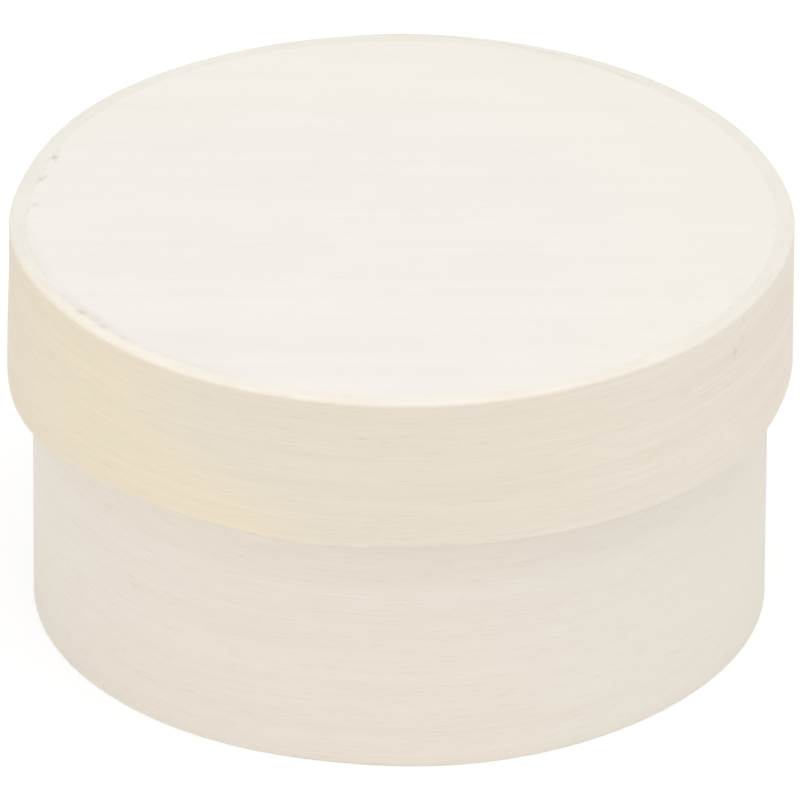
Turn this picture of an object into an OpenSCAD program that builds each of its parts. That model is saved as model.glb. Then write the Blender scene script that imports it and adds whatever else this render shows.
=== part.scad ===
// Round chipwood box with a slip-on lid.
// Each wall is one bent strip of chip: its two skived ends overlap in a glued lap.
// A flat disc closes each ring, held by a glue film round its edge and a fillet inside.
// Millimetres. The origin is the centre of the underside, +Z is up and -Y is the front.

/* [Lid] */
// Outer diameter of the lid
lid_d = 80; // [50:1:160]
// Height of the lid's band
lid_band_h = 16; // [10:0.5:26]
// Thickness of the lid's chip
lid_chip_t = 1.8; // [0.8:0.1:2.6]
// Thickness of the lid's disc
lid_disc_t = 2; // [1.5:0.1:4]
// Play between the body and what stands proud inside the lid
lid_play = 0.3; // [0.2:0.05:1]

/* [Body] */
// Height of the closed box
closed_h = 43; // [32:1:90]
// Thickness of the body's chip
body_chip_t = 1.8; // [0.8:0.1:2.6]
// Thickness of the bottom disc
bottom_disc_t = 2.5; // [1.5:0.1:5]

/* [Laps] */
// Length over which a strip overlaps itself
lap_len = 30; // [15:1:45]
// Blunt thickness that a skived end keeps
tip_t = 0.3; // [0.2:0.05:0.5]
// Length of skived chip left bare in front of the outer end
lap_bare = 0.5; // [0.2:0.1:1.5]
// Thickness of the glue film in a lap
film_t = 0.1; // [0.06:0.01:0.2]
// Width left dry along each edge of a lap
film_margin = 0.4; // [0.2:0.1:1]
// Direction of the middle of the lid's lap, in degrees from +X
lid_lap_az = 75; // [0:5:355]
// Direction of the middle of the body's lap, in degrees from +X
body_lap_az = 110; // [0:5:355]

/* [Discs] */
// Gap between a disc and its band, filled with glue
disc_gap = 0.15; // [0.1:0.01:0.3]
// Bevel round a disc's outer face
disc_bevel = 0.25; // [0.1:0.05:0.5]
// Depth of the open joint between a disc's outer face and the glue
joint_depth = 0.6; // [0.5:0.1:1]
// Leg of the glue fillet in the body's corner
bottom_fillet = 1.2; // [0.5:0.1:3]
// Leg of the glue fillet in the lid's corner
lid_fillet = 0.25; // [0.1:0.05:0.6]

/* [Hidden] */
$fn = 180;

CHIP_CREAM = [0.91, 0.87, 0.80];
DISC_PALE = [0.95, 0.93, 0.90];
GLUE_AMBER = [0.88, 0.80, 0.62];

// Degrees by which a cutting sector runs past the lap
PAST_LAP = 1;

// Height that the outer end of a lap climbs above its band
lap_step = tip_t + film_t;

lid_ro = lid_d / 2;
lid_ri = lid_ro - lid_chip_t;
lid_z = closed_h - lid_band_h;

// The body passes both the lid's glue fillet and, with its own lap, the lid's band
body_ro = lid_ri - max(lap_step, disc_gap + lid_fillet) - lid_play;
body_ri = body_ro - body_chip_t;
// The body's rim carries the lid's disc
body_h = closed_h - lid_disc_t;

// Angle in degrees that a length takes up on a circle of radius r
function arc_deg(length, r) = length / r * 180 / PI;

// Sector between two directions, reaching well past the radius r
module sector(from, to, r) {
    steps = 4;
    arc = [for (i = [0 : steps]) let (a = from + (to - from) * i / steps) 2 * r * [cos(a), sin(a)]];
    polygon(concat([[0, 0]], arc));
}

// Disc whose off-centre edge climbs from r_from at -half to r_to at +half
module ramp(r_from, r_to, half) {
    shift = (r_to - r_from) / (2 * sin(half));
    mean = (r_from + r_to) / 2;
    translate([0, shift])
        circle(r = sqrt(pow(mean, 2) + pow(shift * cos(half), 2)));
}

// Outline of the slit between the two ends of a strip, with the lap's middle on +X and the
// slit running on to the direction end: a film's width over the inner end and before its tip
module slit_outline(ri, ro, end) {
    half = arc_deg(lap_len / 2, ro);
    difference() {
        intersection() {
            sector(-half - arc_deg(film_t, ri), end, ro);
            ramp(ri + lap_step, ro + film_t, half);
        }
        circle(r = ri);
        intersection() {
            sector(-half, end + PAST_LAP, ro);
            ramp(ri + tip_t, ro, half);
        }
    }
}

// Direction in which the outer end of a strip stops
function outer_end(ro) = arc_deg(lap_len / 2 - lap_bare, ro);

// Outline of a bent strip, with the lap's middle on +X: its inner end thins against the
// inside, and its outer end climbs over that and stops in a low step
module chip_outline(ri, ro) {
    half = arc_deg(lap_len / 2, ro);
    difference() {
        union() {
            circle(r = ro);
            intersection() {
                sector(-half - PAST_LAP, outer_end(ro), ro);
                ramp(ro, ro + lap_step, half);
            }
        }
        circle(r = ri);
        slit_outline(ri, ro, half + PAST_LAP);
    }
}

module chip_band(ri, ro, h, lap_az) {
    color(CHIP_CREAM) rotate(lap_az)
        linear_extrude(h) chip_outline(ri, ro);
}

module lap_glue(ri, ro, h, lap_az) {
    color(GLUE_AMBER) rotate(lap_az)
        translate([0, 0, film_margin])
            linear_extrude(h - 2 * film_margin) slit_outline(ri, ro, outer_end(ro));
}

// Disc that closes a band of inner radius ri, with its outer face on z = 0
module closing_disc(ri, t) {
    r = ri - disc_gap;
    color(DISC_PALE) rotate_extrude()
        polygon([[0, 0], [r - disc_bevel, 0], [r, disc_bevel], [r, t], [0, t]]);
}

// Glue round such a disc: the film in its gap and the fillet in the inner corner
module glue_ring(ri, t, fillet) {
    r = ri - disc_gap;
    color(GLUE_AMBER) rotate_extrude()
        polygon([[r, joint_depth], [ri, joint_depth], [ri, t + fillet], [r - fillet, t], [r, t]]);
}

// Turns a piece of the lid over, from the outer face on z = 0 to the closed box's top
module at_lid_top() {
    translate([0, 0, closed_h]) mirror([0, 0, 1]) children();
}

module body_band() { chip_band(body_ri, body_ro, body_h, body_lap_az); }
module body_lap_glue() { lap_glue(body_ri, body_ro, body_h, body_lap_az); }
module bottom_disc() { closing_disc(body_ri, bottom_disc_t); }
module bottom_glue() { glue_ring(body_ri, bottom_disc_t, bottom_fillet); }

module lid_band() { translate([0, 0, lid_z]) chip_band(lid_ri, lid_ro, lid_band_h, lid_lap_az); }
module lid_lap_glue() { translate([0, 0, lid_z]) lap_glue(lid_ri, lid_ro, lid_band_h, lid_lap_az); }
module lid_disc() { at_lid_top() closing_disc(lid_ri, lid_disc_t); }
module lid_glue() { at_lid_top() glue_ring(lid_ri, lid_disc_t, lid_fillet); }

body_band();
body_lap_glue();
bottom_disc();
bottom_glue();
lid_band();
lid_lap_glue();
lid_disc();
lid_glue();
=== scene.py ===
"""Round chipwood box with a slip-on lid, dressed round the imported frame.

Every piece is a surface worked out with numpy in the frame's own metres and
axes: +Z is up, the front looks towards -Y and both laps are at the back.
Directions round the box are angles from +X towards +Y. Bells, waves and marks
are written in millimetres and degrees.
"""

import logging
import math
from dataclasses import dataclass, field
from enum import Enum

import bpy
import numpy as np
from mathutils import Euler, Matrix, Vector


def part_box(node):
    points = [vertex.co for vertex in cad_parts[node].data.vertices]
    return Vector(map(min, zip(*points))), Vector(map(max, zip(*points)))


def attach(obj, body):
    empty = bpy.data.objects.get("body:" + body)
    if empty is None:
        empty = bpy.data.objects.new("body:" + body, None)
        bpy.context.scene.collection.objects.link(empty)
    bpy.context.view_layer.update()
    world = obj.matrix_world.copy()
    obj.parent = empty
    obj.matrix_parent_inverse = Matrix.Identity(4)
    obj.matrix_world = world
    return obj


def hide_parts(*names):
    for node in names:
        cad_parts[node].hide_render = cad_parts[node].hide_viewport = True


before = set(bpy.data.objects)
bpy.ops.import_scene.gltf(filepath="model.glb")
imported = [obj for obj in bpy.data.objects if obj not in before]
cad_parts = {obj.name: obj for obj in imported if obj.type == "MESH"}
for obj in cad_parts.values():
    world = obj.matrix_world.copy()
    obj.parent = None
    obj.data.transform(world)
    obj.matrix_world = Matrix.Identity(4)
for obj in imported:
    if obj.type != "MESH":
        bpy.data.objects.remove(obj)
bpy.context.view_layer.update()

LOG = logging.getLogger("chipwood_box")
MM = 0.001
FULL_TURN = 2 * math.pi
Array = np.ndarray
Pair = tuple[Array, Array]
Colour = tuple[float, float, float]
Socket = bpy.types.NodeSocket
Sockets = dict[str, Socket]
Feeds = dict[str | int, object]

# Length too short to see, on each side of a sudden step
HAIR = 0.004 * MM
# Shortest step between the points of a face
LEAST = 0.03 * MM
# Share of their ease that a strip's corners keep inside its lap
LAP_WEAR = 0.04
# Rows of points up a strip's inner face and up its glue film, and steps along that film
INNER_ROWS, FILM_ROWS, FILM_STEPS = 9, 5, 90
# Rows of points up a mark, and steps along it
MARK_ROWS, MARK_STEPS = 9, 21
# Order that turns a quad over and keeps its first corner
TURNED = [0, 3, 2, 1]
WHITE: Colour = (1.0, 1.0, 1.0)
DIRT: Colour = (0.42, 0.325, 0.23)
WOOD_GLOSS, GLUE_GLOSS = 0.25, 0.5


class Body(Enum):
    """The two rigid bodies that the pieces ride on."""

    BOX = "box"
    LID = "lid"


class Slot(Enum):
    """The record's material slots."""

    BODY_CHIP = "body_chip"
    LID_CHIP = "lid_chip"
    LID_BOARD = "lid_board"
    BOTTOM_BOARD = "bottom_board"
    GLUE = "glue"


class Facing(Enum):
    """Which way a disc's outer face looks; the value is the way from it to the inner one."""

    DOWN = 1.0
    UP = -1.0


# Shapes that the pieces share


def away_from(turn: Array, degrees: float) -> Array:
    """Shortest turn from a direction in degrees to each given one, in radians."""
    return (turn - math.radians(degrees) + math.pi) % FULL_TURN - math.pi


def once_round(count: int) -> Array:
    """Even directions once round, in radians."""
    return np.linspace(0, FULL_TURN, count + 1)[:-1]


def about_axis(r: Array, turn: Array, z: Array | float) -> Array:
    """Points (r cos turn, r sin turn, z), one to a row."""
    return np.stack(np.broadcast_arrays(r * np.cos(turn), r * np.sin(turn), z), -1).reshape(-1, 3)


def step_up(value: Array, low: float, high: float) -> Array:
    """Smooth step from 0 at low to 1 at high, 3t^2 - 2t^3 in between."""
    t = np.clip((value - low) / (high - low), 0, 1)
    return t * t * (3 - 2 * t)


def bell(turn: Array, centre: float, width: float) -> Array:
    """Rise of height 1 round a direction, exp(-(away / width)^2 / 2), both in degrees."""
    return np.exp(-0.5 * (away_from(turn, centre) / math.radians(width)) ** 2)


@dataclass(frozen=True)
class Bell:
    """Bell-shaped departure from a true circle or a straight edge.

    Attributes:
        azimuth: Direction of its middle.
        width: Angle from the middle to where it has fallen to 0.61.
        depth: How far it goes in the middle; negative the other way.
    """

    azimuth: float
    width: float
    depth: float

    def at(self, turn: Array) -> Array:
        """Departure at each direction, in metres."""
        return self.depth * MM * bell(turn, self.azimuth, self.width)


@dataclass(frozen=True)
class Wave:
    """Random departure that closes on itself after one turn.

    It is the sum, over the whole numbers k from fewest to most, of weight_k *
    cos(k * turn + phase_k). The phases are random, and the weights fall as one
    over the root of k.

    Attributes:
        seed: Seed of the random phases and weights.
        fewest: Fewest waves to the turn.
        most: Most waves to the turn.
        size: About how far it swings.
    """

    seed: int
    fewest: int
    most: int
    size: float

    def at(self, turn: Array) -> Array:
        """Departure at each direction, in metres.

        Args:
            turn: Directions in radians, of any shape.

        Returns:
            Departures of that shape.
        """
        rng = np.random.default_rng(self.seed)
        k = np.arange(self.fewest, self.most + 1)
        phase = rng.uniform(0, FULL_TURN, k.size)
        weight = rng.uniform(0.5, 1.0, k.size) / np.sqrt(k)
        wave = np.cos(turn[..., None] * k + phase) @ weight
        swing = 1.5 * math.sqrt(float(np.sum(weight**2)) / 2)
        return self.size * MM * wave / swing


def added(shapes: tuple[Bell | Wave, ...], turn: Array) -> Array:
    """Sum of the departures of bells and waves at each direction, in metres."""
    return sum((shape.at(turn) for shape in shapes), np.zeros_like(turn))


def sorted_samples(groups: list[Array], least: float) -> Array:
    """Joins groups of sample points in order, without near repeats.

    Args:
        groups: Sample points, in any order.
        least: Smallest step to keep between neighbours.

    Returns:
        The points in rising order, both ends kept.
    """
    values = np.sort(np.concatenate(groups))
    kept = np.concatenate([[True], np.diff(values) > least])
    kept[-1] = True
    kept[-2] &= values[-1] - values[-2] > least
    return values[kept]


def joined_runs(runs: list[tuple]) -> Array:
    """Rows of values along an outline, from runs whose plain numbers are repeated to fit."""
    return np.concatenate([np.stack(np.broadcast_arrays(*map(np.float64, run))) for run in runs], 1)


def grid_quads(rows: int, columns: int, close_rows: bool, close_columns: bool = True) -> Array:
    """Quads over a grid of points, numbered row after row.

    Args:
        rows: Points along the path.
        columns: Points along the section.
        close_rows: Whether the path closes on itself.
        close_columns: Whether the section closes on itself.

    Returns:
        Vertex numbers, four to a quad, counter-clockwise from outside when the
        path's direction crossed with the section's points outwards.
    """
    i = np.arange(rows if close_rows else rows - 1)[:, None]
    j = np.arange(columns if close_columns else columns - 1)[None, :]
    here, after, beside = i * columns, (i + 1) % rows * columns, (j + 1) % columns
    return np.stack((here + j, after + j, after + beside, here + beside), -1).reshape(-1, 4)


def swept(r: Array, azimuth: Array, z: Array) -> tuple[Array, list[Array]]:
    """Closed section carried along an open path, with flat ends.

    Args:
        r: Radius of each point, one row to a section.
        azimuth: Direction of each section, as a column.
        z: Height of each point.

    Returns:
        The points, and the faces: quads between the sections and the two ends.
    """
    count, around = r.shape
    ring = np.arange(around)
    ends = np.stack([ring, (count - 1) * around + ring[::-1]])
    return about_axis(r, azimuth, z), [grid_quads(count, around, close_rows=False), ends]


@dataclass
class Surface:
    """Points and faces of one closed piece, with what its finish reads.

    Attributes:
        points: (n, 3) vertices in metres.
        faces: Arrays of vertex numbers, one array for each number of corners.
        traits: Name to n values or n vectors that a finish reads.
        bake_map: One pair of map coordinates for each face corner, or nothing.
    """

    points: Array
    faces: list[Array]
    traits: dict[str, Array] = field(default_factory=dict)
    bake_map: Array | None = None

    def to_object(self, name: str) -> bpy.types.Object:
        """Puts the surface into a mesh and links its object at the origin.

        Faces of more than four corners are flat ends; all others are smooth.

        Args:
            name: Name of the piece.

        Returns:
            The new object.
        """
        mesh = bpy.data.meshes.new(name)
        mesh.from_pydata(self.points.tolist(), [], [f for group in self.faces for f in group.tolist()])
        smooth = np.concatenate([np.full(len(group), group.shape[1] <= 4) for group in self.faces])
        mesh.polygons.foreach_set("use_smooth", smooth)
        for key, data in self.traits.items():
            vectors = data.size > len(self.points)
            layer = mesh.attributes.new(key, "FLOAT_VECTOR" if vectors else "FLOAT", "POINT")
            layer.data.foreach_set("vector" if vectors else "value", data.astype(np.float32).ravel())
        if self.bake_map is not None:
            layer = mesh.uv_layers.new(name="OFBake")
            layer.uv.foreach_set("vector", self.bake_map.astype(np.float32).ravel())
        mesh.update()
        piece = bpy.data.objects.new(name, mesh)
        bpy.context.scene.collection.objects.link(piece)
        return piece


@dataclass(frozen=True)
class Corners:
    """Radii to which a strip's four long edges are worn.

    Attributes:
        low_out: Lower edge of the outer face.
        top_out: Upper edge of the outer face.
        top_in: Upper edge of the inner face.
        low_in: Lower edge of the inner face.
    """

    low_out: float = 0.2 * MM
    top_out: float = 0.2 * MM
    top_in: float = 0.15 * MM
    low_in: float = 0.15 * MM

    @property
    def widest(self) -> float:
        """The most that two corners take of one edge's width."""
        return max(self.low_out + self.low_in, self.top_out + self.top_in)

    def sunk(self, depth: Array) -> Array:
        """How far the worn upper outer edge has come down at depths behind the outer face."""
        # radius - root(radius^2 - (radius - depth)^2), and 0 beyond the radius
        short = np.clip(self.top_out - depth, 0, self.top_out)
        return self.top_out - np.sqrt(self.top_out**2 - short**2)


@dataclass(frozen=True)
class Section:
    """Rectangle with four eased corners that is carried along a strip.

    A point stands at inner + ease_in + across * (thickness - ease_in - ease_out)
    + ease * lean_r from the axis, and at low + ease_low + up * (height - ease_low
    - ease_high) + ease * lean_z.

    Attributes:
        across: Share of the way from the inner to the outer face.
        up: Share of the way from the lower to the upper edge.
        lean_r: Outward part of the direction that the surface looks in.
        lean_z: Upward part of that direction.
        eases: Rows of ease, ease_in, ease_out, ease_low and ease_high.
        widest: The most that two corners take of one edge's width.
    """

    across: Array
    up: Array
    lean_r: Array
    lean_z: Array
    eases: Array
    widest: float

    @classmethod
    def eased(cls, outer_rows: Array, inner_rows: Array, corners: Corners, steps: int = 5) -> "Section":
        """Goes up the outer face, over the top, down the inside and back under.

        Args:
            outer_rows: Shares of the height at which the outer face has points.
            inner_rows: The same for the inner face.
            corners: Radii of the four corners.
            steps: Segments in each rounded corner.

        Returns:
            The section, which turns so that the outside is on the right.
        """
        edge = np.array([0.0, 0.06, 0.2, 0.4, 0.6, 0.8, 0.94, 1.0])
        arc = np.linspace(0, 90, steps + 1)[1:-1]
        a, b, c, d = corners.low_out, corners.top_out, corners.top_in, corners.low_in
        across, up, angle, *eases = joined_runs([
            (1, outer_rows, 0, 0, 0, 0, a, b),
            (1, 1, arc, b, 0, b, 0, b),
            (edge[::-1], 1, 90, 0, c, b, 0, 0),
            (0, 1, arc + 90, c, c, 0, 0, c),
            (0, inner_rows[::-1], 180, 0, 0, 0, d, c),
            (0, 0, arc + 180, d, d, 0, d, 0),
            (edge, 0, 270, 0, d, a, 0, 0),
            (1, 0, arc + 270, a, 0, a, a, 0),
        ])
        lean = np.radians(angle)
        return cls(across, up, np.cos(lean), np.sin(lean), np.stack(eases), corners.widest)

    def kept(self, thick: Array) -> Array:
        """Share of their ease that the corners of a thin end keep."""
        return np.minimum(1.0, 0.8 * thick / self.widest)

    def at(self, faces: Pair, edges: Pair, wear: Pair) -> Pair:
        """Places the section at each step of a path; thin ends get sharper corners.

        Args:
            faces: Inner and outer radius at each step, as columns.
            edges: Heights of the lower and the upper edge.
            wear: Shares of their ease that the inner and the outer corners keep.

        Returns:
            Radius and height, one row for each step.
        """
        (inner, outer), (low, high), (wear_in, wear_out) = faces, edges, wear
        thick, share = outer - inner, self.kept(outer - inner)
        own, ease_in, ease_out, ease_low, ease_high = self.eases
        worn = np.where(self.across > 0.5, wear_out, wear_in) * share
        r = inner + ease_in * wear_in * share + own * worn * self.lean_r
        r = r + self.across * (thick - (ease_in * wear_in + ease_out * wear_out) * share)
        z = low + ease_low * worn + own * worn * self.lean_z
        return r, z + self.up * (high - low - (ease_low + ease_high) * worn)

    def perimeter(self, thickness: float, height: float) -> Array:
        """Shares of the way round the section, one more than it has points.

        Each step counts its own length and a hundredth of the thickness.

        Args:
            thickness: Usual thickness of the strip.
            height: Usual height of the strip.

        Returns:
            Rising values from 0 to 1, the last for the return to the start.
        """
        r, z = self.across * thickness, self.up * height
        step = np.hypot(np.diff(r, append=r[0]), np.diff(z, append=z[0])) + 0.01 * thickness
        return np.concatenate([[0.0], np.cumsum(step)]) / np.sum(step)


@dataclass(frozen=True)
class Mark:
    """Small dent with a smudge of dirt in it.

    Attributes:
        azimuth: Direction of its middle.
        level: Height of its middle on a band, or its distance from a disc's edge.
        size: Half of its height.
        depth: How deep it goes.
        stain: How dirty it is, from 0 to 1.
        stretch: How many times longer it is along the band than high.
    """

    azimuth: float
    level: float
    size: float
    depth: float
    stain: float
    stretch: float = 1.0

    def spot(self, turn: Array, level: Array, radius: float) -> Array:
        """Bell-shaped spot on a surface of that radius, exp(-along^2 - up^2) in shares of its size."""
        along = away_from(turn, self.azimuth) * radius / (self.size * MM * self.stretch)
        return np.exp(-(along**2) - ((level - self.level * MM) / (self.size * MM)) ** 2)

    def samples(self, radius: float) -> Array:
        """Directions across the mark, close enough to show it, in radians."""
        reach = 3 * self.size * MM * self.stretch / radius
        return math.radians(self.azimuth) + np.linspace(-reach, reach, MARK_STEPS)


def dents(marks: tuple[Mark, ...], turn: Array, level: Array, radius: float) -> Pair:
    """Adds up the marks on a surface.

    Args:
        marks: The marks.
        turn: Directions in radians.
        level: Heights, or distances from the disc's edge.
        radius: Radius of the surface.

    Returns:
        Depth in metres and dirt from 0 to 1 over the surface.
    """
    depth = np.zeros(np.broadcast(turn, level).shape)
    dirt = depth.copy()
    for mark in marks:
        spot = mark.spot(turn, level, radius)
        depth += mark.depth * MM * spot
        dirt = np.maximum(dirt, mark.stain * spot)
    return depth, dirt


# Pieces


@dataclass(frozen=True)
class Lap:
    """Glued overlap of a strip's two skived ends.

    Attributes:
        azimuth: Direction of the lap's middle, in degrees.
        length: Length over which the strip overlaps itself.
        tip: Blunt thickness that each end keeps.
        film: Thickness of the glue between the ends.
        bare: Skived length left bare in front of the outer end.
        margin: Width left dry along each edge of the lap.
        ragged: How unevenly the glue ends along those edges.
        feather: Length over which the outer end is sanded down.
        feather_tip: Thickness that is left of it at its end.
    """

    azimuth: float
    length: float = 30 * MM
    tip: float = 0.3 * MM
    film: float = 0.03 * MM
    bare: float = 0.5 * MM
    margin: float = 0.05 * MM
    ragged: Wave = Wave(21, 20, 70, 0.02)
    feather: float = 9 * MM
    feather_tip: float = 0.08 * MM

    @property
    def step(self) -> float:
        """Height that the outer end climbs above its band."""
        return self.tip + self.film


@dataclass
class BentStrip:
    """One strip of chip bent into a ring, and the glue film in its lap.

    Turns are angles from the lap's middle, as a column: they run from the inner
    end's tip, at minus half the lap's angle, once round to the outer end, which
    climbs over the inner one. Azimuths are directions round the box.

    Attributes:
        inner: Inner radius.
        outer: Outer radius.
        low: Height of the lower edge.
        high: Height of the upper edge.
        lap: The overlap.
        pulls: Where the ring is drawn in.
        rim_marks: Marks on the disc, whose smudges cross onto the upper edge.
        outer_rows: Rows of points up the outer face.
        spacing: Distance between sections along the strip.
        corners: Radii of the worn edges.
        marks: Dents in the outer face.
        low_cut: How the knife strayed along the lower edge.
        high_cut: How it strayed along the upper edge.
    """

    inner: float
    outer: float
    low: float
    high: float
    lap: Lap
    pulls: tuple[Bell, ...]
    rim_marks: tuple[Mark, ...]
    outer_rows: int
    spacing: float = 0.42 * MM
    corners: Corners = Corners()
    marks: tuple[Mark, ...] = ()
    low_cut: tuple[Wave, ...] = (Wave(11, 3, 14, 0.03), Wave(12, 60, 190, 0.03))
    high_cut: tuple[Wave, ...] = (Wave(13, 3, 14, 0.02), Wave(14, 50, 160, 0.02))

    @property
    def half(self) -> float:
        """Half of the angle that the lap covers."""
        return self.lap.length / 2 / self.outer

    @property
    def outer_end(self) -> float:
        """Angle from the lap's middle at which the outer end stops."""
        return (self.lap.length / 2 - self.lap.bare) / self.outer

    @property
    def plug(self) -> float:
        """Angle that the glue in front of the inner tip takes up."""
        return self.lap.film / self.inner

    @property
    def soft(self) -> float:
        """Angle over which the wear of an edge comes and goes at the lap."""
        return 1.2 * MM / self.outer

    def ramp(self, turn: Array, start: float, end: float) -> Array:
        """Radius of an off-centre circle that climbs across the lap.

        The circle's centre is moved sideways by s = (end - start) / (2 sin half),
        so its radius at an angle is s sin(angle) + root(R^2 - s^2 cos^2(angle)).

        Args:
            turn: Turns.
            start: Radius at minus half the lap.
            end: Radius at plus half the lap.

        Returns:
            The radius at each turn.
        """
        shift = (end - start) / (2 * math.sin(self.half))
        square = ((start + end) / 2) ** 2 + (shift * math.cos(self.half)) ** 2
        return shift * np.sin(turn) + np.sqrt(square - (shift * np.cos(turn)) ** 2)

    def faces(self, turn: Array) -> Pair:
        """Radii of the strip's inner and outer face along its whole length.

        Args:
            turn: Turns.

        Returns:
            Inner and outer radius at each turn.
        """
        lap, back = self.lap, turn - FULL_TURN
        sanded = step_up(back, self.outer_end - lap.feather / self.outer, self.outer_end)
        climbing = self.ramp(back, self.outer, self.outer + lap.step) - (lap.tip - lap.feather_tip) * sanded
        above_film = self.ramp(back, self.inner + lap.step, self.outer + lap.film)
        inner = np.where(back > -self.half - self.plug, above_film, self.inner)
        outer = np.where(turn < self.half, self.skived(turn), self.outer)
        return inner, np.where(back > -self.half, climbing, outer)

    def skived(self, turn: Array) -> Array:
        """Outer radius of the skived inner end."""
        return self.ramp(turn, self.inner + self.lap.tip, self.outer)

    def over(self, turn: Array) -> Array:
        """Outer radius of the outer end above each turn, past its tip that of the tip."""
        return self.faces(FULL_TURN + np.clip(turn, -self.half, self.outer_end))[1]

    def buried(self, turn: Array) -> Array:
        """How deep the outer face lies under the outer end, fading out past that end."""
        depth = self.over(turn) - self.faces(np.clip(turn, -self.half, self.outer_end))[1]
        return depth * (1 - step_up(turn, self.outer_end, self.outer_end + self.soft))

    def wear(self, turn: Array) -> Pair:
        """Shares of their ease that the corners keep: almost none inside the lap.

        Args:
            turn: Turns.

        Returns:
            Shares for the inner and the outer corners at each turn.
        """
        hidden = step_up(turn - FULL_TURN, -self.half - self.soft, -self.half - self.plug)
        shown = step_up(turn, self.outer_end, self.outer_end + self.soft)
        return 1 - (1 - LAP_WEAR) * hidden, LAP_WEAR + (1 - LAP_WEAR) * shown

    def turns(self) -> Array:
        """Turns of the strip's sections, closer at its ends and its marks.

        Returns:
            The turns in rising order.
        """
        first, last = -self.half, FULL_TURN + self.outer_end
        jump, hair = FULL_TURN - self.half - self.plug, HAIR / self.outer
        close = np.array([0.05, 0.1, 0.2]) * MM / self.outer
        even = np.linspace(first, last, int((last - first) * self.outer / self.spacing))
        groups = [even, np.array([jump - hair, jump + hair]), first + close, last - close]
        for mark in self.marks:
            offset = mark.samples(self.outer) - math.radians(self.lap.azimuth)
            groups.append((offset - self.half) % FULL_TURN + self.half)
        return sorted_samples(groups, hair)[:, None]

    def rows(self, count: int, marks: tuple[Mark, ...] = ()) -> Array:
        """Shares of the height at which a face has points.

        Args:
            count: Number of even rows.
            marks: Marks whose heights get rows of their own.

        Returns:
            Rising shares from 0 to 1, with support rows at each end.
        """
        height = self.high - self.low
        support = np.array([0.08, 0.2]) * MM / height
        groups = [np.linspace(0, 1, count), support, 1 - support]
        for mark in marks:
            middle, reach = (mark.level * MM - self.low) / height, 2 * mark.size * MM / height
            groups.append(np.clip(np.linspace(middle - reach, middle + reach, MARK_ROWS), 0, 1))
        return sorted_samples(groups, LEAST / height)

    def edges(self, azimuth: Array) -> Pair:
        """Heights of the lower and upper edge, as the knife left them."""
        low, high = added(self.low_cut, azimuth), added(self.high_cut, azimuth)
        return self.low + np.maximum(low, 0), self.high + np.minimum(high, 0)

    def give(self, azimuth: Array, height: Array, across: Array) -> Array:
        """How far a point stands outside the true circle; each strip has its own way."""
        raise NotImplementedError

    def tints(self, azimuth: Array, height: Array) -> dict[str, Array | float]:
        """Shares of warm wood, painted light and, on the upper edge, painted shade; each strip has its own.
        """
        raise NotImplementedError

    def surface(self) -> Surface:
        """The strip: its eased section carried once round and over itself.

        In the lap, where thin ends have sharp corners, the upper edge is worn
        down as one ring with the rest of it.

        Returns:
            The closed surface, with the place in the wood and the masks.
        """
        turn = self.turns()
        azimuth = turn + math.radians(self.lap.azimuth)
        section = Section.eased(self.rows(self.outer_rows, self.marks), self.rows(INNER_ROWS), self.corners)
        (inner, outer), wear = self.faces(turn), self.wear(turn)
        r, z = section.at((inner, outer), self.edges(azimuth), wear)
        sharp = 1 - wear[1] * section.kept(outer - inner)
        z = z - section.up * sharp * self.corners.sunk(outer + self.buried(turn) - r)
        on_outer, on_top = np.clip(section.lean_r, 0, 1), np.clip(section.lean_z, 0, 1)
        depth, dirt = dents(self.marks, azimuth, z, self.outer)
        smudge = dents(self.rim_marks, azimuth, inner - r, self.inner)[1]
        r = r + self.give(azimuth, z, section.across) - on_outer * depth

        cut = np.abs(section.lean_z) * np.ones_like(r)
        cut[[0, -1]] = 1.0
        # The tints paint light on the sides and shade on the upper edge; below, the shade is kept to that
        # edge.
        masks = self.tints(azimuth, z)
        masks |= {
            "cut": cut,
            "inside": np.clip(-section.lean_r, 0, 1),
            "dirt": on_outer * dirt + on_top * smudge,
            "grey": on_top * masks["grey"],
        }
        traits = {key: np.broadcast_to(mask, r.shape) for key, mask in masks.items()}
        traits["place"] = np.stack(np.broadcast_arrays(turn * self.outer, z, r), -1)
        return Surface(*swept(r, azimuth, z), traits, self.bake_map(turn, section))

    def bake_map(self, turn: Array, section: Section) -> Array:
        """Flat map of the strip: its length across, the way round it upwards.

        The sides fill the map but for a margin, and the two ends lie in the
        strip that is left above them.

        Args:
            turn: Turns of the sections.
            section: The section.

        Returns:
            One pair of coordinates for each face corner, the two ends last.
        """
        u = 0.01 + 0.98 * (turn - turn[0]) / (turn[-1] - turn[0])
        v = 0.02 + 0.94 * section.perimeter(self.outer - self.inner, self.high - self.low)
        left, right, under, over = u[:-1], u[1:], v[:-1], v[1:]
        corners = [(left, under), (right, under), (right, over), (left, over)]
        sides = np.stack([np.stack(np.broadcast_arrays(*pair), -1) for pair in corners], -2)
        across, up = 0.004 * section.across, 0.975 + 0.02 * section.up
        first, last = (np.stack([start + across, up], -1) for start in (0.1, 0.2))
        return np.concatenate([sides.reshape(-1, 2), first, last[::-1]])

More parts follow.
